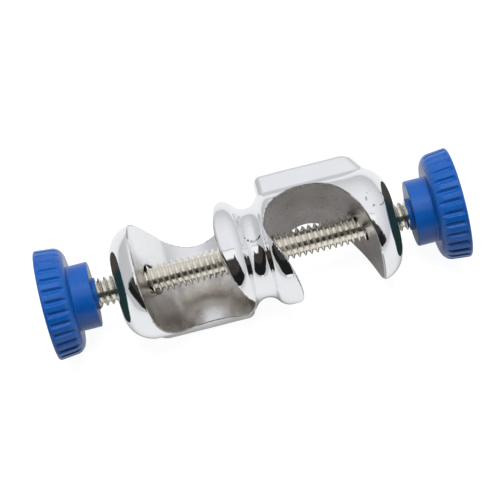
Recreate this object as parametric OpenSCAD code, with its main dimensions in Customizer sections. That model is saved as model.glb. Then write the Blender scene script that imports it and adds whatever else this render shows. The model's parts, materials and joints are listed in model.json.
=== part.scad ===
// Boss head clamp: one die-cast body with two C-shaped jaws turned a quarter turn to each other,
// and a thumbscrew in each end that presses a rod into its jaw.
//
// +X runs along the screws, towards the right knob. The left jaw opens upwards (+Z) and takes a rod
// lying along Y. The right jaw opens to the front (-Y) and takes a rod standing along Z.
// The origin is the centre of the flat back of the left jaw, which the part rests on.

/* [Body] */
// Length of the casting along the screws
body_len = 58.7; // [56:0.1:80]
// Diameter of the round body
body_d = 24.1; // [22.5:0.1:30]
// Radius where each end turns into the round body
end_round = 6.2; // [1:0.1:8]

/* [Groove] */
// Depth of the groove round the middle of the body
groove_depth = 2.6; // [1.5:0.1:4]
// Width of the groove's floor
groove_floor_w = 2.8; // [1:0.1:4]
// Width of the groove where it meets the round body
groove_top_w = 6.7; // [5:0.1:8]
// Radius of the crown on each side of the groove
groove_crown = 1.2; // [0.3:0.1:2]
// Radius of the fillet at the foot of each groove wall
groove_fillet = 0.8; // [0.2:0.1:1]

/* [Jaws] */
// Radius of the round pocket that a rod lies in
pocket_r = 9.2; // [7:0.05:10]
// Distance from the middle of the body to the nearest point of each pocket
pocket_near = 2.6; // [2:0.1:5]
// How far the pocket's centre lies from the screws' axis, towards the jaw's mouth
pocket_drop = 1.3; // [1.1:0.1:2.5]
// Distance from the screws' axis to the point of the V that the rod is pressed into
seat_drop = 0.87; // [0:0.01:1.1]
// Slope of the web below that point, away from the pocket
web_slope = 24.5; // [18:0.5:30]
// Radius of the wider arc that opens the jaw towards the knob
mouth_r = 24; // [20:0.5:40]
// Angle above the mouth at which the pocket runs into the wider arc
mouth_angle = 38.4; // [30:0.2:45]

/* [Back pads] */
// How far the flat back of each jaw stands above the round body
pad_rise = 1.15; // [0.5:0.05:4]
// Width of each back pad, along the rod
pad_w = 16.8; // [12:0.1:18]
// Distance from the middle of the body to the near end of each pad
pad_near = 2.9; // [2.5:0.1:5]
// Distance from the middle of the body to where the far slope of each pad starts
pad_far = 23.4; // [18:0.1:24]
// Slope of each pad's far end, from the screws' axis
pad_slope = 58.8; // [50:0.2:75]
// Radius of the pad's long edges
pad_edge = 1.2; // [0.3:0.1:2]
// Radius at the near end of each pad's top
pad_near_round = 1.6; // [0.3:0.1:3]
// Radius at the far end of each pad's top
pad_far_round = 2.2; // [0.3:0.1:4]

/* [Ejector marks] */
// Diameter of the round marks that the ejector pins leave
mark_d = 3.7; // [2:0.1:4.5]
// How far a mark stands above the surface at its centre
mark_proud = 0.03; // [0.01:0.01:0.1]
// Distance from the outer end of the casting to the mark on the right jaw
mark_inset = 3.7; // [2.5:0.1:5]

/* [Screws] */
// Outside diameter of the threaded rods
screw_d = 6.1; // [4:0.1:8]
// Clearance left between the right screw's tip and the web that it closes on
right_tip_gap = 0.23; // [0.1:0.01:2]
// Length of each screw inside its knob
screw_grip = 8.6; // [4:0.1:9.2]
// Length of the chamfer at each tip
tip_chamfer = 0.75; // [0.2:0.05:1]
// Clearance between a screw and the hole that it runs in, on the radius
screw_gap = 0.05; // [0.02:0.01:0.1]
// Distance from the end of the casting to the left knob's hub
left_hub_gap = 4.75; // [3:0.05:20]
// Distance from the end of the casting to the right knob's hub
right_hub_gap = 3.45; // [2.5:0.05:20]

/* [Knobs] */
// Diameter of the rim
rim_d = 23.1; // [18:0.1:30]
// Thickness of the rim
rim_len = 5.9; // [4:0.1:10]
// Radius of the rim's shoulder
shoulder_round = 2.3; // [0.3:0.1:2.6]
// Radius of the edge round the outer face
rim_edge = 0.4; // [0.1:0.1:1]
// Diameter of the hub
hub_d = 13.7; // [10:0.1:16]
// Length of the hub
hub_len = 4.2; // [2:0.1:8]
// Radius of the hub's edge
hub_edge = 0.5; // [0.1:0.1:1]
// Radius of the fillet between the hub and the rim
hub_fillet = 0.3; // [0.1:0.1:0.6]
// Wall of the thin nose collar round the screw
nose_wall = 0.2; // [0.2:0.05:1.5]
// Length of the nose collar
nose_len = 0.7; // [0.2:0.1:1.5]
// Number of grip flutes round the rim
flutes = 30; // [12:1:32]
// Width of a flute's round floor
flute_w = 1.2; // [0.6:0.1:1.4]
// Depth of a flute
flute_depth = 0.45; // [0.2:0.05:0.55]
// Plain lip left between the flutes and the outer face
flute_lip = 0.5; // [0.3:0.1:2]

/* [Hidden] */
$fn = 96;
body_r = body_d / 2;
groove_r = body_r - groove_depth;
pad_top = body_r + pad_rise;
screw_r = screw_d / 2;
tip_r = screw_r - tip_chamfer;
rim_r = rim_d / 2;
// The rest face is the flat back of the left jaw, so its centre sets the origin
pad_start = pad_near + pad_near_round;
pad_end = pad_far - pad_far_round * tan(pad_slope / 2);
pad_centre_x = (pad_start + pad_end) / 2;
// Larger than the whole part, for cuts that run right through it
beyond = 3 * body_d;
mark_x = body_len / 2 - mark_inset;
left_hub_x = body_len / 2 + left_hub_gap;
right_hub_x = body_len / 2 + right_hub_gap;
pocket_x = pocket_near + pocket_r;
// Nearest that a jaw's web comes to the middle of the body
seat_x = pocket_x - sqrt(pocket_r ^ 2 - (pocket_drop - seat_drop) ^ 2);
// Where the edge of a tip would meet the pocket's wall or the sloping web
wall_x = pocket_x - sqrt(pocket_r ^ 2 - (pocket_drop + tip_r) ^ 2);
web_x = seat_x + (tip_r - seat_drop) * tan(web_slope);
// Both screws are as long as the right one, which is drawn turned in until it almost touches
screw_reach = right_hub_x - max(wall_x, web_x) - right_tip_gap;
// The pads start inside the wall, between the screws' axis and the pocket's floor
pad_root = body_r / 2;

function unit(v) = v / norm(v);
// Distance from a corner to where its arc starts
function setback(u, v, r) = r / tan(acos(u * v) / 2);
// Whether the outline bulges at a corner, from the directions to its two neighbours
function bulges(u, v) = u.x * v.y - u.y * v.x < 0;

// Outline whose corners are [x, y, radius], listed anticlockwise, each rounded by a true arc
module rounded_outline(corners) {
    count = len(corners);
    points = [for (c = corners) [c.x, c.y]];
    radii = [for (c = corners) c[2]];
    to_last = [for (i = [0:count - 1]) unit(points[(i + count - 1) % count] - points[i])];
    to_next = [for (i = [0:count - 1]) unit(points[(i + 1) % count] - points[i])];
    back = [for (i = [0:count - 1]) setback(to_last[i], to_next[i], radii[i])];
    starts = [for (i = [0:count - 1]) points[i] + back[i] * to_last[i]];
    ends = [for (i = [0:count - 1]) points[i] + back[i] * to_next[i]];
    inward = [for (i = [0:count - 1]) unit(to_last[i] + to_next[i])];
    centres = [for (i = [0:count - 1]) points[i] + norm([back[i], radii[i]]) * inward[i]];
    outer = [for (i = [0:count - 1]) radii[i] > 0 && bulges(to_last[i], to_next[i])];
    inner = [for (i = [0:count - 1]) radii[i] > 0 && !outer[i]];

    difference() {
        union() {
            polygon([for (i = [0:count - 1]) each (radii[i] > 0 ? [starts[i], ends[i]] : [points[i]])]);
            for (i = [0:count - 1])
                if (outer[i])
                    arc_sector(centres[i], radii[i], starts[i], ends[i], points[i]);
        }
        for (i = [0:count - 1])
            if (inner[i])
                arc_sector(centres[i], radii[i], starts[i], ends[i], points[i]);
    }
}

// The slice of a circle between two tangent points, towards the corner that it rounds
module arc_sector(centre, r, start, end, corner) {
    wide = 1.3;
    intersection() {
        translate(centre)
            circle(r);
        polygon([for (p = [centre, start, corner, end]) centre + wide * (p - centre)]);
    }
}

// Turns a shape made along +Z so that it runs along +X
module along_x() {
    rotate([0, 90, 0])
        children();
}

// Moves a shape from the middle of the screws' axis to its place above the rest face
module in_place() {
    translate([pad_centre_x, 0, pad_top])
        children();
}

// Turns a right-hand jaw, whose mouth faces -Y, into the left-hand one, whose mouth faces +Z
module as_left_jaw() {
    mirror([1, 0, 0])
        rotate([-90, 0, 0])
            children();
}

module both_jaws() {
    children();
    as_left_jaw()
        children();
}

module both_ends() {
    children();
    mirror([1, 0, 0])
        children();
}

module round_body() {
    along_x()
        rotate_extrude()
            rounded_outline([
                [0, -body_len / 2, 0],
                [body_r, -body_len / 2, end_round],
                [body_r, -groove_top_w / 2, groove_crown],
                [groove_r, -groove_floor_w / 2, groove_fillet],
                [groove_r, groove_floor_w / 2, groove_fillet],
                [body_r, groove_top_w / 2, groove_crown],
                [body_r, body_len / 2, end_round],
                [0, body_len / 2, 0],
            ]);
}

// Flat-topped thickening on the closed side of a jaw, towards +Y
module back_pad() {
    run = (pad_top - pad_root) / tan(pad_slope);
    intersection() {
        linear_extrude(beyond, center = true)
            rounded_outline([
                [pad_near, pad_root, 0],
                [pad_far + run, pad_root, 0],
                [pad_far, pad_top, pad_far_round],
                [pad_near, pad_top, pad_near_round],
            ]);
        along_x()
            linear_extrude(body_len / 2)
                rounded_outline([
                    [-pad_w / 2, pad_root - 1, 0],
                    [pad_w / 2, pad_root - 1, 0],
                    [pad_w / 2, pad_top, pad_edge],
                    [-pad_w / 2, pad_top, pad_edge],
                ]);
    }
}

// Side view of the space in a jaw: a round pocket that opens towards -Y through a wider arc,
// with a sloping web on the side away from the knob
module jaw_outline() {
    centre = [pocket_x, -pocket_drop];
    across = [cos(mouth_angle), sin(mouth_angle)];
    seat = [seat_x, -seat_drop];
    difference() {
        union() {
            translate(centre)
                circle(pocket_r);
            intersection() {
                translate(centre - (mouth_r - pocket_r) * across)
                    circle(mouth_r);
                polygon([
                    centre,
                    [-beyond, centre.y],
                    [-beyond, -beyond],
                    [beyond, -beyond],
                    centre + beyond * across,
                ]);
            }
        }
        polygon([
            seat,
            [-beyond, -seat_drop],
            [-beyond, -beyond],
            seat + beyond * [sin(web_slope), -cos(web_slope)],
        ]);
    }
}

// Flat round mark facing +Z on a round surface of the given radius
module ejector_mark(x, surface_r) {
    translate([x, 0, surface_r / 2])
        cylinder(d = mark_d, h = surface_r / 2 + mark_proud);
}

module screw_hole() {
    along_x()
        translate([0, 0, pocket_x])
            cylinder(r = screw_r + screw_gap, h = body_len);
}

module casting() {
    color([0.82, 0.83, 0.84])
        in_place()
            difference() {
                union() {
                    round_body();
                    both_jaws()
                        back_pad();
                    ejector_mark(0, groove_r);
                    ejector_mark(mark_x, body_r);
                }
                both_jaws()
                    linear_extrude(beyond, center = true)
                        jaw_outline();
                both_ends()
                    screw_hole();
            }
}

// Threaded rod, drawn at its outside diameter, with its hub end at hub_x
module screw(hub_x) {
    color([0.78, 0.77, 0.74])
        along_x()
            translate([0, 0, hub_x - screw_reach])
                rotate_extrude()
                    polygon([
                        [0, 0],
                        [tip_r, 0],
                        [screw_r, tip_chamfer],
                        [screw_r, screw_reach + screw_grip],
                        [0, screw_reach + screw_grip],
                    ]);
}

// One grip flute along the rim, which runs out on the shoulder and stops at the lip
module flute(rim_start) {
    translate([rim_r - flute_depth + flute_w / 2, 0, rim_start - shoulder_round])
        cylinder(d = flute_w, h = shoulder_round + rim_len - flute_lip);
}

// Moulded thumb knob with its hub face at hub_x: nose collar, hub and fluted rim
module knob(hub_x) {
    nose_r = screw_r + screw_gap + nose_wall;
    hub_r = hub_d / 2;
    length = hub_len + rim_len;
    color([0.1, 0.33, 0.68])
        along_x()
            translate([0, 0, hub_x])
                difference() {
                    rotate_extrude()
                        rounded_outline([
                            [0, -nose_len, 0],
                            [nose_r, -nose_len, 0],
                            [nose_r, 0, 0],
                            [hub_r, 0, hub_edge],
                            [hub_r, hub_len, hub_fillet],
                            [rim_r, hub_len, shoulder_round],
                            [rim_r, length, rim_edge],
                            [0, length, 0],
                        ]);
                    for (i = [0:flutes - 1])
                        rotate(i * 360 / flutes)
                            flute(hub_len);
                    translate([0, 0, -nose_len - 1])
                        cylinder(r = screw_r + screw_gap, h = nose_len + 1 + screw_grip + screw_gap);
                }
}

module left_screw() {
    in_place()
        mirror([1, 0, 0])
            screw(left_hub_x);
}

module right_screw() {
    in_place()
        screw(right_hub_x);
}

module left_knob() {
    in_place()
        mirror([1, 0, 0])
            knob(left_hub_x);
}

module right_knob() {
    in_place()
        knob(right_hub_x);
}

casting();
left_screw();
right_screw();
left_knob();
right_knob();
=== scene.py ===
"""Boss head clamp: a polished die-cast body with two threaded screws and two fluted knobs.

Every size is in millimetres in the body's own frame until place() moves it into the CAD frame.
The body's frame has its origin in the middle of the casting, on the screws' axis: +X runs towards
the right knob, +Z out of the left jaw and -Y out of the right jaw.
"""

import json
import math

import bpy
import numpy as np
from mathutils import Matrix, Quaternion, Vector


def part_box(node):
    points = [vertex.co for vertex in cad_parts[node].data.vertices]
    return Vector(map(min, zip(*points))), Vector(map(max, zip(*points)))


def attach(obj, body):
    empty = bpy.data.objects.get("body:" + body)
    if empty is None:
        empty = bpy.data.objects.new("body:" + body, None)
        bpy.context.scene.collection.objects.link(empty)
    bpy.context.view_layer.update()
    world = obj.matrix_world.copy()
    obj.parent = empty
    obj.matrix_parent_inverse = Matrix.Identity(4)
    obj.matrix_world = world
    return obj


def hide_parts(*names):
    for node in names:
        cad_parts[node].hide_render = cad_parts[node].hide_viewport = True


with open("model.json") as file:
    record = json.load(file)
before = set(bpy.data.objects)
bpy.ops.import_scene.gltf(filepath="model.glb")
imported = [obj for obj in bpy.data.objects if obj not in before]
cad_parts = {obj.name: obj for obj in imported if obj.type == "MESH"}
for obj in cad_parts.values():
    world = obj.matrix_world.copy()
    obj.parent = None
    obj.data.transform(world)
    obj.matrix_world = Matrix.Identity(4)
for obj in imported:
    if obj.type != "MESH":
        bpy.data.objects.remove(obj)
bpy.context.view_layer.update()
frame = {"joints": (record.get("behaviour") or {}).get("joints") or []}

MM = 0.001

# ---------------------------------------------------------------- sizes taken from the frame

body_low, body_high = (np.array(corner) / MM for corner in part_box("casting"))
hinges = {j["name"]: np.array(j["pos_m"]) / MM for j in frame["joints"] if j["type"] == "hinge"}

BODY_X = (body_low[0] + body_high[0]) / 2
AXIS_Z = hinges["left_turn"][2]
HALF_LENGTH = (body_high[0] - body_low[0]) / 2
BODY_R = -body_low[1]
PAD_TOP = body_high[1]


def node_ends(node):
    """Distances from the middle of the body to the near and far ends of a screw or a knob."""
    low, high = (corner[0] / MM - BODY_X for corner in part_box(node))
    return (low, high) if low > 0 else (-high, -low)


# ---------------------------------------------------------------- sizes of the casting, mm

END_ROUND = 6.2
GROOVE_R = 9.45
GROOVE_FLOOR = 1.4
GROOVE_WALL_SLOPE = math.radians(53)
GROOVE_CROWN = 1.2
GROOVE_FILLET = 1.0

POCKET_R = 9.2
POCKET_CENTRE = (11.8, -1.3)
SEAT_DROP = 0.87
SEAT_FILLET = 0.8
WEB_SLOPE = math.radians(24.5)
MOUTH_R = 24.0
MOUTH_ANGLE = math.radians(38.4)
RIM_ROUND = 0.3
# The rims get rounder towards the jaws' tips, from LIP_START out, over LIP_BLEND
LIP_ROUND = 0.9
LIP_START = 7.5
LIP_BLEND = 3.5

PAD_HALF_WIDTH = 8.4
PAD_NEAR = 2.9
PAD_FAR = 23.4
PAD_SLOPE = math.radians(58.8)
PAD_EDGE = 1.2
PAD_NEAR_ROUND = 1.6
PAD_FAR_ROUND = 2.2
PAD_CREASE = 0.25

MARK_R = 1.85
MARK_PROUD = 0.09
MARK_EDGE = 0.05
MARK_INSET = 3.7
HOLE_GAP = 0.05
HOLE_EDGE = 0.2

GRID_STEP = 0.28
FINISH_BLEND = 0.8

# ---------------------------------------------------------------- sizes of the screws and knobs

PITCH = 1.27
THREAD_R = 3.05
THREAD_ROOT_R = 2.28
TIP_R = 2.3
CREST_FLAT = 0.14
ROOT_FLAT = 0.24

HUB_R = 6.85
HUB_EDGE = 0.3
HUB_FILLET = 0.35
RIM_THICKNESS = 5.9
RIM_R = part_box("left_knob")[1][1] / MM
RIM_DRAFT = 0.6
SHOULDER_ROUND = 2.3
RIM_EDGE = 0.4
NOSE_LENGTH = 0.7
NOSE_R = 3.3
NOSE_EDGE = 0.15
NOSE_BORE_R = THREAD_ROOT_R - 0.08
FLUTES = 30
FLUTE_HALF_WIDTH = 0.62
FLUTE_DEPTH = 0.5
FLUTE_LIP = 0.5
FLUTE_END = 0.6
FLUTE_EDGE = 0.14

# ---------------------------------------------------------------- sizes of the stage, mm

CARD_GAP = 0.25
CARD_R = RIM_R - 1.1


def place(points):
    """Points in the body's frame, in millimetres, as metres in the CAD frame."""
    return (np.asarray(points, float) + (BODY_X, 0, AXIS_Z)) * MM


# ---------------------------------------------------------------- camera


def make_camera():
    """Looks down on the clamp's front from above, with the screws' axis rising to the right."""
    distance = 386.0
    elevation = math.radians(64.5)
    stand_x = -8.0
    aim = Vector((-1.0, 0.0, 0.0))
    rise = math.radians(14.2)
    back = Vector((0, -math.cos(elevation), math.sin(elevation)))
    up = Vector((0, math.sin(elevation), math.cos(elevation)))
    eye = Vector((stand_x, 0, 0)) + distance * back
    aim += 0.9 * up

    data = bpy.data.cameras.new("camera")
    data.lens = 135.4
    data.sensor_width = 36.0
    data.clip_start = 0.01
    data.clip_end = 10.0
    camera = bpy.data.objects.new("camera", data)
    bpy.context.scene.collection.objects.link(camera)
    ahead = (aim - eye).normalized()
    turn = ahead.to_track_quat("-Z", "Y").to_matrix()
    right = ahead.cross(up).normalized()
    level = math.atan2(turn.col[0].dot(right.cross(ahead)), turn.col[0].dot(right))
    camera.rotation_mode = "QUATERNION"
    camera.rotation_quaternion = ahead.to_track_quat("-Z", "Y") @ Quaternion((0, 0, 1), -level - rise)
    camera.location = place(eye)
    bpy.context.scene.camera = camera


make_camera()

# ---------------------------------------------------------------- shader helpers


class Nodes:
    """Short calls for building one node tree."""

    def __init__(self, tree):
        self.tree = tree
        tree.nodes.clear()

    def add(self, kind, inputs=None, **settings):
        node = self.tree.nodes.new(kind)
        for name, value in settings.items():
            setattr(node, name, value)
        for name, value in (inputs or {}).items():
            self.feed(node.inputs[name], value)
        return node

    def feed(self, socket, value):
        if isinstance(value, bpy.types.NodeSocket):
            self.tree.links.new(value, socket)
        else:
            socket.default_value = value

    def math(self, operation, a, b=0.0, c=0.0):
        node = self.add("ShaderNodeMath", {0: a, 1: b, 2: c}, operation=operation)
        return node.outputs[0]

    def ramp(self, value, low, high, out_low=0.0, out_high=1.0):
        """value taken smoothly from out_low at low to out_high at high."""
        names = ("Value", "From Min", "From Max", "To Min", "To Max")
        inputs = dict(zip(names, (value, low, high, out_low, out_high), strict=True))
        return self.add("ShaderNodeMapRange", inputs, interpolation_type="SMOOTHSTEP").outputs[0]

    def mix(self, factor, a, b):
        node = self.add("ShaderNodeMix", {0: factor, 6: a, 7: b}, data_type="RGBA")
        return node.outputs[2]

    def noise(self, scale, detail=2.0, vector=None, roughness=0.5):
        inputs = {"Scale": scale, "Detail": detail, "Roughness": roughness}
        if vector is not None:
            inputs["Vector"] = vector
        return self.add("ShaderNodeTexNoise", inputs).outputs["Fac"]

    def bump(self, height, strength, distance):
        inputs = {"Height": height, "Strength": strength, "Distance": distance}
        return self.add("ShaderNodeBump", inputs).outputs[0]


def new_material(name):
    material = bpy.data.materials.new(name)
    material.use_nodes = True
    return material, Nodes(material.node_tree)


# ---------------------------------------------------------------- light


def make_world():
    """A white light tent, brightest overhead, whose open front shows dark in what it faces."""
    world = bpy.data.worlds.new("tent")
    bpy.context.scene.world = world
    world.use_nodes = True
    n = Nodes(world.node_tree)
    towards = n.add("ShaderNodeTexCoord").outputs["Generated"]
    x, y, z = n.add("ShaderNodeSeparateXYZ", {0: towards}).outputs
    # Angles from straight ahead at the front, in radians
    aside = n.math("ARCTAN2", x, n.math("MULTIPLY", y, -1.0))
    height = n.math("ARCSINE", z)
    ragged = n.math("SUBTRACT", n.noise(7.0, 4.0, towards, 0.65), 0.5)
    rough_height = n.math("ADD", height, n.math("MULTIPLY", ragged, 0.35))

    leftwards = n.math("MINIMUM", aside, 0.0)
    sill = n.math("MINIMUM", n.math("MULTIPLY", n.math("MULTIPLY", leftwards, leftwards), 0.25), 0.16)
    above_sill = n.ramp(n.math("SUBTRACT", height, sill), 0.085, 0.115)
    below_top = n.ramp(rough_height, 1.14, 1.10)
    right_of_left = n.ramp(n.math("ADD", aside, n.math("MULTIPLY", ragged, 0.4)), -1.44, -1.38)
    left_of_right = n.ramp(n.math("ADD", aside, n.math("MULTIPLY", ragged, 0.3)), 0.95, 0.89)
    opening = n.math("MULTIPLY", n.math("MULTIPLY", above_sill, below_top), right_of_left)
    opening = n.math("MULTIPLY", opening, left_of_right)

    speckle = n.ramp(n.noise(26.0, 4.0, towards, 0.7), 0.45, 0.75)
    dim = n.mix(speckle, (0.034, 0.031, 0.028, 1), (0.16, 0.15, 0.14, 1))
    room = n.mix(n.ramp(rough_height, 0.58, 0.64), (0.012, 0.0135, 0.0135, 1), dim)
    cloth = n.mix(n.ramp(z, -0.1, 0.95), (0.60, 0.60, 0.61, 1), (0.88, 0.89, 0.92, 1))
    cloth = n.mix(n.ramp(x, -0.75, 0.1), (0.56, 0.56, 0.565, 1), cloth)
    # Near the zenith: a lamp over the front, and the tent's seam behind it
    forward = n.math("DIVIDE", n.math("MULTIPLY", y, -1.0), n.math("MAXIMUM", z, 0.1))
    forward = n.math("ADD", forward, n.math("MULTIPLY", ragged, 0.16))
    sideways = n.math("ABSOLUTE", n.math("DIVIDE", x, n.math("MAXIMUM", z, 0.1)))
    lamp = n.math("MULTIPLY", n.ramp(forward, 0.12, 0.2), n.ramp(sideways, 0.9, 0.5))
    cloth = n.mix(lamp, cloth, (1.0, 1.0, 0.985, 1))
    off_seam = n.math("ABSOLUTE", n.math("SUBTRACT", forward, 0.105))
    seam = n.math("MULTIPLY", n.ramp(off_seam, 0.022, 0.008), n.ramp(sideways, 0.7, 0.5))
    cloth = n.mix(n.math("MULTIPLY", seam, 0.7), cloth, (0.2, 0.19, 0.18, 1))
    light = n.mix(opening, cloth, room)
    seen = n.add("ShaderNodeLightPath").outputs["Is Camera Ray"]
    colour = n.mix(seen, light, (1, 1, 1, 1))
    background = n.add("ShaderNodeBackground", {"Color": colour, "Strength": 1.0})
    n.add("ShaderNodeOutputWorld", {"Surface": background.outputs[0]})


def make_floor():
    """Pale floor that the clamp rests on, bright enough to leave only a trace of its shadow."""
    half = 3.0
    corners = [(-half, -half, 0), (half, -half, 0), (half, half, 0), (-half, half, 0)]
    mesh = bpy.data.meshes.new("floor")
    mesh.from_pydata(corners, [], [(0, 1, 2, 3)])
    floor = bpy.data.objects.new("floor", mesh)
    bpy.context.scene.collection.objects.link(floor)
    material, n = new_material("pale_floor")
    # Painted shadow: in reflections the strip of floor right below the clamp glows darker, standing in for
    # the light the clamp keeps off it
    where = n.add("ShaderNodeTexCoord").outputs["Object"]
    x, y, _ = n.add("ShaderNodeSeparateXYZ", {0: where}).outputs
    along = n.math("ABSOLUTE", n.math("SUBTRACT", x, BODY_X * MM))
    painted_shadow_strip = n.math("MULTIPLY", n.ramp(along, 0.040, 0.026), n.ramp(n.math("ABSOLUTE", y), 0.013, 0.006))
    below = n.mix(painted_shadow_strip, (0.64, 0.65, 0.66, 1), (0.13, 0.12, 0.115, 1))
    seen = n.add("ShaderNodeLightPath").outputs["Is Camera Ray"]
    glow = n.mix(seen, below, (0.93, 0.93, 0.93, 1))
    pale = n.add("ShaderNodeBsdfDiffuse", {"Color": (0.16, 0.16, 0.16, 1)})
    shine = n.add("ShaderNodeEmission", {"Color": glow, "Strength": 1.0})
    both = n.add("ShaderNodeAddShader", {0: pale.outputs[0], 1: shine.outputs[0]})
    n.add("ShaderNodeOutputMaterial", {"Surface": both.outputs[0]})
    mesh.materials.append(material)


def make_lamp(name, stand, size, power):
    """A round soft lamp aimed at the clamp, kept out of the mirror-like metal."""
    data = bpy.data.lights.new(name, "AREA")
    data.shape = "DISK"
    data.size = size * MM
    data.energy = power
    lamp = bpy.data.objects.new(name, data)
    bpy.context.scene.collection.objects.link(lamp)
    lamp.location = place(stand)
    lamp.rotation_mode = "QUATERNION"
    lamp.rotation_quaternion = (-Vector(stand)).to_track_quat("-Z", "Y")
    lamp.visible_glossy = False


def make_painted_shade_ring(name, side):
    """A dark ring before a knob, seen only in reflections and only from the casting's side: a painted
    reflection of the knob's shaded inner side.
    """
    ring = [(math.cos(a), math.sin(a)) for a in np.linspace(0, 2 * math.pi, 97)[:-1]]
    hub_x = node_ends("left_knob" if side < 0 else "right_knob")[0] + NOSE_LENGTH
    at_x = side * (hub_x - CARD_GAP)
    inner = [(at_x, THREAD_R * c, THREAD_R * s) for c, s in ring]
    outer = [(at_x, CARD_R * c, CARD_R * s) for c, s in ring]
    faces = [(i, (i + 1) % 96, 96 + (i + 1) % 96, 96 + i) for i in range(96)]
    mesh = bpy.data.meshes.new(name)
    if side < 0:
        faces = [face[::-1] for face in faces]
    mesh.from_pydata(place(inner + outer).tolist(), [], faces)
    flag = bpy.data.objects.new(name, mesh)
    bpy.context.scene.collection.objects.link(flag)
    flag.visible_camera = False
    flag.visible_diffuse = False
    flag.visible_shadow = False
    material, n = new_material(name + "_cloth")
    where = n.add("ShaderNodeTexCoord").outputs["Object"]
    painted_shade_mottle = n.noise(900.0, 3.0, where)
    front = n.add("ShaderNodeSeparateXYZ", {0: where}).outputs[1]
    # Painted reflection of the knob's shaded side: dark teal, brownish towards +Y, mottled at random
    colour = n.mix(painted_shade_mottle, (0.008, 0.024, 0.024, 1), (0.022, 0.046, 0.043, 1))
    colour = n.mix(n.ramp(front, 0.0, 0.004), colour, (0.07, 0.058, 0.05, 1))
    shine = n.add("ShaderNodeEmission", {"Color": colour, "Strength": 1.0})
    clear = n.add("ShaderNodeBsdfTransparent")
    knob_side = n.add("ShaderNodeNewGeometry").outputs["Backfacing"]
    card = n.add("ShaderNodeMixShader", {0: knob_side, 1: shine.outputs[0], 2: clear.outputs[0]})
    n.add("ShaderNodeOutputMaterial", {"Surface": card.outputs[0]})
    mesh.materials.append(material)


make_world()
make_floor()
make_painted_shade_ring("left_painted_shade_ring", -1)
make_painted_shade_ring("right_painted_shade_ring", 1)
make_lamp("overhead", (20, 60, 420), 260, 2.4)
bpy.context.scene.view_settings.view_transform = "Standard"

# ---------------------------------------------------------------- materials


def cast_aluminium():
    """Mirror-polished outside, satin inside the jaws with painted light and shade; jaw_side tells them
    apart.
    """
    material, n = new_material("cast_aluminium")
    inside = n.add("ShaderNodeAttribute", attribute_name="jaw_side").outputs["Fac"]
    where = n.add("ShaderNodeTexCoord").outputs["Object"]
    x, y, z = n.add("ShaderNodeSeparateXYZ", {0: where}).outputs
    fine = n.noise(1100.0, 3.0, where)
    coarse = n.noise(140.0, 3.0, where, 0.6)
    blotch = n.noise(320.0, 4.0, where, 0.6)
    satin = n.ramp(inside, 0.35, 0.65)
    # Seam where the mould's halves met, along the near part of the right pocket: bumped as a ridge, and
    # painted lighter as a highlight along it
    off_seam = n.math("ABSOLUTE", n.math("SUBTRACT", z, AXIS_Z * MM))
    seam = n.math("MULTIPLY", n.ramp(off_seam, 0.00022, 0.00008), satin)
    seam = n.math("MULTIPLY", seam, n.ramp(x, (BODY_X + 4.0) * MM, (BODY_X + 4.6) * MM))
    seam = n.math("MULTIPLY", seam, n.ramp(x, (BODY_X + 9.2) * MM, (BODY_X + 8.4) * MM))
    rough_out = n.ramp(coarse, 0.35, 0.75, 0.04, 0.12)
    rough_in = n.ramp(coarse, 0.3, 0.7, 0.20, 0.30)
    rough = n.math("ADD", rough_out, n.math("MULTIPLY", satin, n.math("SUBTRACT", rough_in, rough_out)))
    polished = n.mix(coarse, (0.84, 0.85, 0.865, 1), (0.92, 0.925, 0.935, 1))
    # Painted light and shade inside the jaws: the left jaw is painted brighter towards its back and in a
    # round patch near its front, the right jaw half way brighter, with blotches varying it at random
    painted_light_share = n.math("MULTIPLY", n.ramp(y, -0.001, 0.006), n.math("LESS_THAN", x, BODY_X * MM))
    patch_x = n.math("DIVIDE", n.math("SUBTRACT", x, (BODY_X - 12.6) * MM), 4.6 * MM)
    patch_y = n.math("DIVIDE", n.math("ADD", y, 6.6 * MM), 3.0 * MM)
    off_painted_light_patch = n.math("SQRT", n.math("ADD", n.math("POWER", patch_x, 2.0), n.math("POWER", patch_y, 2.0)))
    painted_light_share = n.math("MAXIMUM", painted_light_share, n.ramp(off_painted_light_patch, 1.4, 0.5))
    right_jaw = n.math("GREATER_THAN", x, BODY_X * MM)
    painted_light_share = n.math("ADD", painted_light_share, n.math("MULTIPLY", right_jaw, 0.5))
    painted_light_share = n.math("ADD", painted_light_share, n.math("MULTIPLY", n.math("SUBTRACT", blotch, 0.5), 0.5))
    # Painted shade: the satin inside is coloured darker where the light share above is low, lighter where
    # it is high
    satin_and_painted_shade = n.mix(n.ramp(blotch, 0.3, 0.7), (0.56, 0.53, 0.51, 1), (0.74, 0.71, 0.68, 1))
    satin_and_painted_shade = n.mix(n.ramp(painted_light_share, 0.0, 1.0), satin_and_painted_shade, (0.87, 0.87, 0.88, 1))
    colour = n.mix(satin, polished, satin_and_painted_shade)
    # Painted highlight along the seam's ridge
    colour = n.mix(seam, colour, (0.95, 0.93, 0.9, 1))
    # A dark broken line along the jaws' rims
    off_rim = n.math("ABSOLUTE", n.math("SUBTRACT", inside, 0.5))
    rim = n.math("MULTIPLY", n.ramp(off_rim, 0.42, 0.2), n.ramp(blotch, 0.38, 0.52))
    colour = n.mix(n.math("MULTIPLY", rim, 0.75), colour, (0.16, 0.14, 0.125, 1))
    height = n.math("ADD", n.math("ADD", fine, coarse), n.math("MULTIPLY", seam, 3.0))
    grain = n.bump(height, n.math("ADD", 0.04, n.math("MULTIPLY", satin, 0.04)), 0.0003)
    shader = n.add(
        "ShaderNodeBsdfPrincipled",
        {"Base Color": colour, "Metallic": 1.0, "Roughness": rough, "Normal": grain},
    )
    n.add("ShaderNodeOutputMaterial", {"Surface": shader.outputs[0]})
    return material


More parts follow.
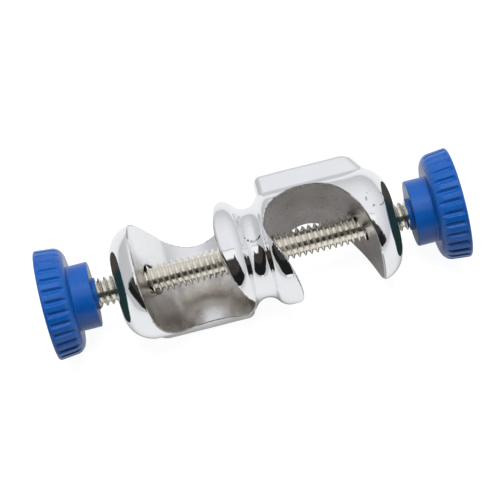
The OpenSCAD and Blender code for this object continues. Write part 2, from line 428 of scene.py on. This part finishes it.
def bright_steel():
    """Rolled screw thread, a little rough and warm."""
    material, n = new_material("bright_steel")
    where = n.add("ShaderNodeTexCoord").outputs["Object"]
    worn = n.noise(700.0, 3.0, where)
    colour = n.mix(worn, (0.86, 0.82, 0.74, 1), (0.97, 0.93, 0.85, 1))
    shader = n.add(
        "ShaderNodeBsdfPrincipled",
        {
            "Base Color": colour,
            "Metallic": 1.0,
            "Roughness": n.ramp(worn, 0.3, 0.7, 0.16, 0.30),
            "Normal": n.bump(worn, 0.05, 0.0002),
        },
    )
    n.add("ShaderNodeOutputMaterial", {"Surface": shader.outputs[0]})
    return material


def blue_plastic():
    """Semi-gloss moulded plastic with a faint mottle and moulding waviness."""
    material, n = new_material("blue_plastic")
    where = n.add("ShaderNodeTexCoord").outputs["Object"]
    mottle = n.noise(260.0, 3.0, where)
    grain = n.noise(1800.0, 2.0, where)
    colour = n.mix(mottle, (0.0012, 0.052, 0.235, 1), (0.0040, 0.072, 0.300, 1))
    shader = n.add(
        "ShaderNodeBsdfPrincipled",
        {
            "Base Color": colour,
            "Roughness": n.ramp(mottle, 0.3, 0.7, 0.24, 0.34),
            "IOR": 1.43,
            "Normal": n.bump(grain, 0.10, 0.0002),
        },
    )
    n.add("ShaderNodeOutputMaterial", {"Surface": shader.outputs[0]})
    return material


# ---------------------------------------------------------------- mesh helpers


def add_piece(name, points, faces, material, body, stands_for, normals=None, attributes=None):
    """A smooth mesh, given in the body's frame, that rides on a CAD body and stands for a node."""
    mesh = bpy.data.meshes.new(name)
    mesh.from_pydata(place(points).tolist(), [], faces.tolist() if hasattr(faces, "tolist") else faces)
    mesh.polygons.foreach_set("use_smooth", [True] * len(mesh.polygons))
    for key, values in (attributes or {}).items():
        mesh.attributes.new(key, "FLOAT", "POINT").data.foreach_set("value", values.astype(np.float32))
    if normals is not None:
        mesh.normals_split_custom_set_from_vertices(normals.tolist())
    mesh.materials.append(material)
    piece = bpy.data.objects.new(name, mesh)
    bpy.context.scene.collection.objects.link(piece)
    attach(piece, body)
    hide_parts(stands_for)
    return piece


# ---------------------------------------------------------------- the casting as a distance field


def both(a, b, r=0.0):
    """Distance to where two solids overlap, its edge rounded to radius r."""
    if np.isscalar(r) and r == 0:
        return np.maximum(a, b)
    return np.minimum(-r, np.maximum(a, b)) + np.hypot(np.maximum(a + r, 0), np.maximum(b + r, 0))


def either(a, b, r=0.0):
    """Distance to two solids joined, with a fillet of radius r."""
    if r == 0:
        return np.minimum(a, b)
    return np.maximum(r, np.minimum(a, b)) - np.hypot(np.maximum(r - a, 0), np.maximum(r - b, 0))


def turned_body(x, y, z):
    along, out = np.abs(x), np.hypot(y, z)
    solid = both(along - HALF_LENGTH, out - BODY_R, END_ROUND)
    rise, run = math.sin(GROOVE_WALL_SLOPE), math.cos(GROOVE_WALL_SLOPE)
    wall = (along - GROOVE_FLOOR) * rise - (out - GROOVE_R) * run
    groove = both(wall, GROOVE_R - out, GROOVE_FILLET)
    return both(solid, -groove, GROOVE_CROWN)


def back_pad(x, n, a):
    """Thickening on the closed side of a jaw; n points to that side and a along the rod."""
    far = (x - PAD_FAR) * math.sin(PAD_SLOPE) + (n - PAD_TOP) * math.cos(PAD_SLOPE)
    pad = both(n - PAD_TOP, np.abs(a) - PAD_HALF_WIDTH, PAD_EDGE)
    pad = both(pad, far, PAD_FAR_ROUND)
    pad = both(pad, PAD_NEAR - x, PAD_NEAR_ROUND)
    return both(pad, BODY_R / 2 - n)


def jaw_space(x, n):
    """The space in a jaw, seen along the rod: a round pocket with a wider mouth and a sloping web."""
    px, pn = POCKET_CENTRE
    cx, cn = math.cos(MOUTH_ANGLE), math.sin(MOUTH_ANGLE)
    pocket = np.hypot(x - px, n - pn) - POCKET_R
    reach = MOUTH_R - POCKET_R
    mouth = np.hypot(x - px + reach * cx, n - pn + reach * cn) - MOUTH_R
    above = (n - pn) * cx - (x - px) * cn > 0
    space = np.where(above, pocket, mouth)
    seat_x = px - math.sqrt(POCKET_R**2 - (pn + SEAT_DROP) ** 2)
    web = -(x - seat_x) * math.cos(WEB_SLOPE) - (n + SEAT_DROP) * math.sin(WEB_SLOPE)
    return both(space, web, SEAT_FILLET)


def ejector_mark(solid, x, y, z, at_x):
    """The body with a thin raised disc that follows its surface, facing +Z."""
    disc = both(np.hypot(x - at_x, y) - MARK_R, solid - MARK_PROUD, MARK_EDGE)
    return np.where(z > 0, np.minimum(solid, disc), solid)


def ripple(x, y, z):
    """Shallow waves that hand polishing leaves in the cast surface."""
    a = np.sin(0.9 * x + 0.5 * y + 0.7) * np.sin(0.6 * y - 0.8 * z + 1.9)
    b = np.sin(0.45 * x - 0.7 * z + 2.3) * np.sin(0.8 * z + 0.35 * y + 0.4)
    return 0.018 * a + 0.022 * b


def casting_layers(x, y, z):
    """Distance to the casting without its jaws, and distance to the jaws' space."""
    solid = turned_body(x, y, z)
    solid = either(solid, back_pad(x, y, z), PAD_CREASE)
    solid = either(solid, back_pad(-x, -z, y), PAD_CREASE)
    solid = ejector_mark(solid, x, y, z, 0.0)
    solid = ejector_mark(solid, x, y, z, HALF_LENGTH - MARK_INSET)
    solid = solid + ripple(x, y, z)
    right, left = jaw_space(x, y), jaw_space(-x, -z)
    return solid, np.where(x > 0, right, left)


def casting_distance(points):
    x, y, z = points[..., 0], points[..., 1], points[..., 2]
    solid, space = casting_layers(x, y, z)
    deep = np.where(x > 0, -y, z)
    lip = np.clip((deep - LIP_START) / LIP_BLEND, 0, 1)
    rim = RIM_ROUND + (LIP_ROUND - RIM_ROUND) * lip * lip * (3 - 2 * lip)
    solid = both(solid, -space, rim)
    hole = both(np.hypot(y, z) - THREAD_R - HOLE_GAP, POCKET_CENTRE[0] - np.abs(x))
    return both(solid, -hole, HOLE_EDGE)


def jaw_side(points):
    """0 on the polished outside and 1 inside the jaws, with a narrow change at the rims."""
    solid, space = casting_layers(points[:, 0], points[:, 1], points[:, 2])
    return np.clip(0.5 + (-space - solid) / FINISH_BLEND, 0, 1)


def gradient(distance, points, step=0.02):
    parts = []
    for axis in range(3):
        shift = np.zeros(3)
        shift[axis] = step
        parts.append(distance(points + shift) - distance(points - shift))
    return np.stack(parts, -1) / (2 * step)


def surface_net(distance, low, high, spacing):
    """Quads that follow the zero of a distance field: one point in each grid cell it passes."""
    counts = np.ceil((high - low) / spacing).astype(int) + 1
    axes = [low[i] + spacing * np.arange(counts[i]) for i in range(3)]
    grid = np.stack(np.meshgrid(*axes, indexing="ij"), -1)
    value = np.concatenate([distance(slab) for slab in np.array_split(grid, 12)])
    inside = value < 0
    corners = [(i, j, k) for i in (0, 1) for j in (0, 1) for k in (0, 1)]
    cells = tuple(c - 1 for c in counts)

    def corner_of(array, c):
        return array[c[0] : c[0] + cells[0], c[1] : c[1] + cells[1], c[2] : c[2] + cells[2]]

    filled = sum(corner_of(inside, c).astype(np.int8) for c in corners)
    active = (filled > 0) & (filled < 8)
    index = np.full(cells, -1)
    index[active] = np.arange(active.sum())
    where = np.argwhere(active)
    total = np.zeros((len(where), 3))
    crossings = np.zeros((len(where), 1))
    for start in corners:
        for axis in range(3):
            if start[axis]:
                continue
            end = list(start)
            end[axis] = 1
            a = value[tuple((where + start).T)]
            b = value[tuple((where + end).T)]
            crosses = (a < 0) != (b < 0)
            share = np.where(crosses, a / np.where(crosses, a - b, 1), 0)
            spot = np.tile(np.array(start, float), (len(where), 1))
            spot[:, axis] = share
            total += spot * crosses[:, None]
            crossings += crosses[:, None]
    points = low + spacing * (where + total / crossings)

    quads = []
    for axis in range(3):
        u, v = (axis + 1) % 3, (axis + 2) % 3
        first = [slice(None)] * 3
        second = [slice(None)] * 3
        first[axis], second[axis] = slice(None, -1), slice(1, None)
        change = inside[tuple(first)] != inside[tuple(second)]
        edge = np.argwhere(change)
        edge = edge[(edge[:, u] > 0) & (edge[:, v] > 0)]
        edge = edge[(edge[:, u] < counts[u] - 1) & (edge[:, v] < counts[v] - 1)]
        ring = []
        for du, dv in ((-1, -1), (0, -1), (0, 0), (-1, 0)):
            cell = edge.copy()
            cell[:, u] += du
            cell[:, v] += dv
            ring.append(index[tuple(cell.T)])
        quad = np.stack(ring, 1)
        leaving = inside[tuple(edge.T)]
        quad[~leaving] = quad[~leaving][:, ::-1]
        quads.append(quad)
    return points, np.concatenate(quads)


def settle(distance, points, quads, rounds=3):
    """Evens out the mesh along the surface and puts every point back on it."""
    edges = np.concatenate([quads[:, [i, (i + 1) % 4]] for i in range(4)])
    degree = np.bincount(edges.ravel(), minlength=len(points))[:, None]
    for _ in range(rounds):
        mean = np.zeros_like(points)
        np.add.at(mean, edges[:, 0], points[edges[:, 1]])
        np.add.at(mean, edges[:, 1], points[edges[:, 0]])
        pull = mean / degree - points
        normal = gradient(distance, points)
        normal /= np.linalg.norm(normal, axis=1, keepdims=True)
        points = points + 0.5 * (pull - normal * (pull * normal).sum(1, keepdims=True))
        for _ in range(2):
            slope = gradient(distance, points)
            size = np.maximum((slope**2).sum(1, keepdims=True), 0.2)
            points = points - distance(points)[:, None] * slope / size
    return points


def make_casting():
    spacing = GRID_STEP
    high = np.array([HALF_LENGTH, PAD_TOP, BODY_R]) + 1.0
    low = -np.array([HALF_LENGTH, BODY_R, PAD_TOP]) - 1.0
    points, quads = surface_net(casting_distance, low, high, spacing)
    points = settle(casting_distance, points, quads)
    normals = gradient(casting_distance, points)
    normals /= np.linalg.norm(normals, axis=1, keepdims=True)
    add_piece(
        "cast_body", points, quads, cast_aluminium(), "casting", "casting",
        normals, {"jaw_side": jaw_side(points)},
    )


# ---------------------------------------------------------------- turned shapes


def ring_faces(rows, columns, closed=True):
    """Quads between neighbouring rings of points, outward where the rings run along the axis."""
    across = columns if closed else columns - 1
    i, j = np.meshgrid(np.arange(rows - 1), np.arange(across), indexing="ij")
    nxt = (j + 1) % columns
    quads = [i * columns + j, i * columns + nxt, (i + 1) * columns + nxt, (i + 1) * columns + j]
    return np.stack([q.ravel() for q in quads], 1)


def turned(x, r, angle):
    """Points at distances x along and r from the axis."""
    return np.stack([x, -r * np.sin(angle), r * np.cos(angle)], -1)


def thread_radius(turns):
    """Radius of a sixty-degree thread with narrow flats, where turns counts pitches along it."""
    ramp = np.abs((turns % 1.0) - 0.5) * 2
    slope = np.clip((ramp - CREST_FLAT) / (1 - CREST_FLAT - ROOT_FLAT), 0, 1)
    return THREAD_R - (THREAD_R - THREAD_ROOT_R) * slope


def weld(points, quads):
    """Joins points that meet, and drops what that leaves without an area."""
    _, first, joined = np.unique(np.round(points, 5), axis=0, return_index=True, return_inverse=True)
    faces = []
    for quad in joined.ravel()[quads].tolist():
        face = [v for k, v in enumerate(quad) if v != quad[k - 1]]
        if len(set(face)) == len(face) > 2:
            faces.append(face)
    return points[first], faces


def make_screw(side, node, body, material):
    """A right-handed threaded rod whose rows follow the helix, chamfered at its ends."""
    tip, end = node_ends(node)
    steps = 60
    marks = np.array([0.0, 0.06, 0.12, 0.21, 0.315, 0.42, 0.5, 0.58, 0.685, 0.79, 0.88, 0.94])
    pitches = np.arange(math.floor(tip / PITCH) - 3, math.ceil(end / PITCH) + 3)
    rows = (pitches[:, None] + marks[None, :]).ravel()
    turns, angle = np.meshgrid(rows, np.linspace(0, 2 * math.pi, steps + 1), indexing="ij")
    x = (turns + side * angle / (2 * math.pi)) * PITCH
    r = thread_radius(turns)
    for inside in (x - tip, end - x):
        r = np.minimum(r, TIP_R + inside * np.where(inside > 0, 1.0, 2.5))
    points = turned(side * np.clip(x, tip, end), np.maximum(r, 0), angle).reshape(-1, 3)
    quads = ring_faces(len(rows), steps + 1, closed=False)
    points, faces = weld(points, quads if side > 0 else quads[:, ::-1])
    add_piece(body + "_thread", points, faces, material, body, node)


def rounded_path(corners, arc_steps=6, longest=0.5):
    """Points along a path of [x, r, radius] corners, each rounded by an arc."""
    path = []
    spots = [np.array(c[:2], float) for c in corners]
    for i, corner in enumerate(corners):
        spot, radius = spots[i], corner[2]
        if radius == 0 or i in (0, len(corners) - 1):
            path.append(spot)
            continue
        back, ahead = spots[i - 1] - spot, spots[i + 1] - spot
        back, ahead = back / np.linalg.norm(back), ahead / np.linalg.norm(ahead)
        half = math.acos(np.clip(back @ ahead, -1, 1)) / 2
        centre = spot + (back + ahead) / np.linalg.norm(back + ahead) * radius / math.sin(half)
        start = spot + back * radius / math.tan(half) - centre
        stop = spot + ahead * radius / math.tan(half) - centre
        sweep = math.atan2(start[0] * stop[1] - start[1] * stop[0], start @ stop)
        for t in np.linspace(0, 1, arc_steps + 1):
            c, s = math.cos(sweep * t), math.sin(sweep * t)
            path.append(centre + (c * start[0] - s * start[1], s * start[0] + c * start[1]))
    dense = [path[0]]
    for a, b in zip(path, path[1:]):
        pieces = max(1, math.ceil(np.linalg.norm(b - a) / longest))
        dense += [a + (b - a) * k / pieces for k in range(1, pieces + 1)]
    return np.array(dense)


def flute_columns():
    """Angles round the rim, closest together across each flute, and how deep each one is."""
    half = FLUTE_HALF_WIDTH / RIM_R
    step = 2 * math.pi / FLUTES
    shares = np.array([-1.25, -1.05, -0.9, -0.7, -0.45, -0.2, 0.0, 0.2, 0.45, 0.7, 0.9, 1.05, 1.25])
    lands = np.linspace(1.25 * half, step - 1.25 * half, 5)[1:-1]
    one = np.concatenate([shares * half, lands])
    depth = np.concatenate([1 - np.minimum(np.abs(shares), 1) ** 2, np.zeros(len(lands))])
    angles = (np.arange(FLUTES)[:, None] * step + one[None, :]).ravel()
    return angles, np.tile(depth, FLUTES)


def soft_min(a, b, blend):
    share = np.clip(0.5 + 0.5 * (b - a) / blend, 0, 1)
    return b * (1 - share) + a * share - blend * share * (1 - share)


def make_knob(side, node, body, material):
    """Rim with flutes, hub and thin nose, moulded in one."""
    nose, outer = node_ends(node)
    hub, shoulder = nose + NOSE_LENGTH, outer - RIM_THICKNESS
    lip = outer - FLUTE_LIP
    path = rounded_path([
        [nose, NOSE_BORE_R, 0],
        [nose, NOSE_R, NOSE_EDGE],
        [hub, NOSE_R, NOSE_EDGE],
        [hub, HUB_R, HUB_EDGE],
        [shoulder, HUB_R, HUB_FILLET],
        [shoulder, RIM_R - RIM_DRAFT, SHOULDER_ROUND],
        [outer, RIM_R, RIM_EDGE],
        [outer, 0.0, 0],
    ], arc_steps=12, longest=0.6)
    flute_end = np.array([lip - FLUTE_END * t * t for t in np.linspace(0, 1, 6)])
    on_rim = (path[:, 1] > RIM_R - RIM_DRAFT - 0.05) & (path[:, 0] < lip - FLUTE_END - 0.05)
    last = np.flatnonzero(on_rim)[-1]
    after = path[path[:, 0] > lip + 0.02]
    run = np.stack([flute_end[::-1], np.full(6, RIM_R)], 1)
    run[:, 1] -= (outer - run[:, 0]) / RIM_THICKNESS * RIM_DRAFT
    path = np.concatenate([path[: last + 1], run, after])
    angles, depth = flute_columns()
    x = np.repeat(path[:, :1], len(angles), 1)
    r = np.repeat(path[:, 1:], len(angles), 1)
    fade = np.sqrt(np.clip((lip - x) / FLUTE_END, 0, 1))
    floor = RIM_R - RIM_DRAFT * (outer - x) / RIM_THICKNESS - FLUTE_DEPTH * depth * fade
    floor = np.where(depth * fade > 0, floor, RIM_R + 1)
    r = np.where(r > HUB_R, soft_min(r, floor, FLUTE_EDGE), r)
    points = turned(side * x, r, np.broadcast_to(angles, x.shape)).reshape(-1, 3)
    quads = ring_faces(len(path), len(angles))
    points, faces = weld(points, quads if side > 0 else quads[:, ::-1])
    add_piece(body + "_knob", points, faces, material, body, node)


# ---------------------------------------------------------------- build

make_casting()
steel, plastic = bright_steel(), blue_plastic()
for side, screw_node, knob_node, body in (
    (-1, "left_screw", "left_knob", "left_grip"),
    (1, "right_screw", "right_knob", "right_grip"),
):
    make_screw(side, screw_node, body, steel)
    make_knob(side, knob_node, body, plastic)
